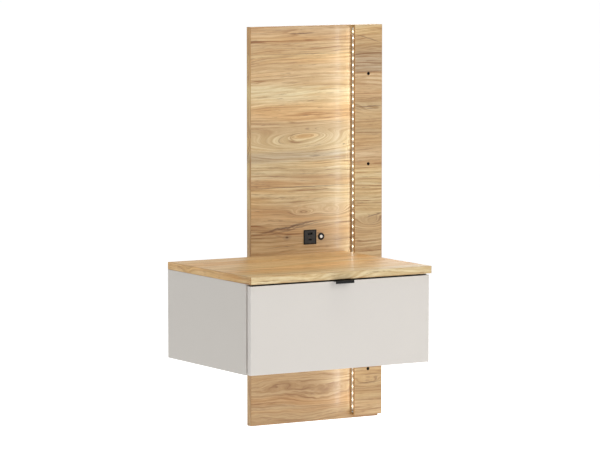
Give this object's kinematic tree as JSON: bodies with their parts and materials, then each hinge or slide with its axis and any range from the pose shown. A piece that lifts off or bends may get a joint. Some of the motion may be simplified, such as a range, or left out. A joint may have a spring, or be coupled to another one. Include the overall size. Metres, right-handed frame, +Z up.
{
  "type": "bedside cabinet",
  "caption": "Wall-hung bedside cabinet with a soft-cornered drawer under an oak top, on a tall oak back panel with a light strip, charging socket and light switch.",
  "frame": {"origin": "centre of the back panel's wall face, halfway across and halfway up the panel", "axes": "+Z up, +Y out of the back into the wall, so the drawer opens along -Y, and +X to the right of someone who faces the drawer"},
  "size_m": [0.598, 0.431, 0.98],
  "materials": {
    "oak_board": "light oak decor, matt, grain runs across",
    "warm_white_board": "warm white laminate, silk matt",
    "black_board": "black laminate, matt",
    "drawer_board": "light grey laminate, matt",
    "fibreboard": "thin painted fibreboard",
    "dowel_wood": "bare beech",
    "black_metal": "black powder coat",
    "zinc_steel": "zinc plated",
    "aluminium_profile": "satin anodised",
    "black_plastic": "fine textured black",
    "white_plastic": "smooth white",
    "cage_plastic": "dark nylon",
    "ball_steel": "polished",
    "light_tape": "white flexible circuit",
    "light_chip": "warm white phosphor",
    "contact_brass": "plated contacts",
    "clear_rubber": "translucent soft stop"
  },
  "bodies": {
    "cabinet": {"main_panel": "oak_board", "strip_board": "oak_board", "strip_screws": "zinc_steel", "led_profile": "aluminium_profile", "led_tape": "light_tape", "led_chips": "light_chip", "usb_bezel": "black_plastic", "usb_body": "black_plastic", "usb_tongues": "contact_brass", "switch_ring": "black_plastic", "switch_body": "black_plastic", "switch_nut": "zinc_steel", "switch_spring": "zinc_steel", "power_inlet": "black_plastic", "power_lead": "white_plastic", "link_lead": "white_plastic", "led_lead": "white_plastic", "lead_clips": "white_plastic", "top_board": "oak_board", "side_left": "warm_white_board", "side_right": "warm_white_board", "bottom_panel": "warm_white_board", "cabinet_back": "warm_white_board", "front_rail": "black_board", "carcase_dowels": "dowel_wood", "carcase_cams": "zinc_steel", "cam_bolts": "zinc_steel", "cabinet_bolts": "zinc_steel", "insert_nuts": "zinc_steel", "bumpers": "clear_rubber", "runner_cabinet_left": "zinc_steel", "runner_cabinet_right": "zinc_steel", "cabinet_runner_screws": "zinc_steel"},
    "drawer": {"drawer_front": "warm_white_board", "drawer_side_left": "drawer_board", "drawer_side_right": "drawer_board", "drawer_back": "drawer_board", "drawer_bottom": "fibreboard", "drawer_dowels": "dowel_wood", "handle": "black_metal", "handle_screws": "black_metal", "runner_drawer_left": "zinc_steel", "runner_drawer_right": "zinc_steel", "drawer_runner_screws": "zinc_steel"},
    "runner_middle": {"runner_middle_left": "zinc_steel", "runner_middle_right": "zinc_steel"},
    "outer_cages": {"outer_cage_left": "cage_plastic", "outer_cage_right": "cage_plastic", "outer_balls": "ball_steel"},
    "inner_cages": {"inner_cage_left": "cage_plastic", "inner_cage_right": "cage_plastic", "inner_balls": "ball_steel"},
    "button": {"switch_button": "white_plastic"}
  },
  "joints": [
    {"name": "drawer_slide", "type": "slide", "parent": "cabinet", "child": "drawer", "axis": [0, -1, 0], "range_m": [0, 0.33]},
    {"name": "runner_middle_slide", "type": "slide", "parent": "cabinet", "child": "runner_middle", "axis": [0, -1, 0], "range_m": [0, 0.165]},
    {"name": "outer_cage_slide", "type": "slide", "parent": "cabinet", "child": "outer_cages", "axis": [0, -1, 0], "range_m": [0, 0.0825]},
    {"name": "inner_cage_slide", "type": "slide", "parent": "cabinet", "child": "inner_cages", "axis": [0, -1, 0], "range_m": [0, 0.2475]},
    {"name": "button_press", "type": "slide", "parent": "cabinet", "child": "button", "axis": [0, 1, 0], "range_m": [0, 0.0012], "stiffness_N_per_m": 400, "springref_m": -0.001, "deforming": ["switch_spring"]}
  ],
  "couplings": [
    {"joint": "runner_middle_slide", "follows": "drawer_slide", "ratio": 0.5},
    {"joint": "outer_cage_slide", "follows": "drawer_slide", "ratio": 0.25},
    {"joint": "inner_cage_slide", "follows": "drawer_slide", "ratio": 0.75}
  ]
}
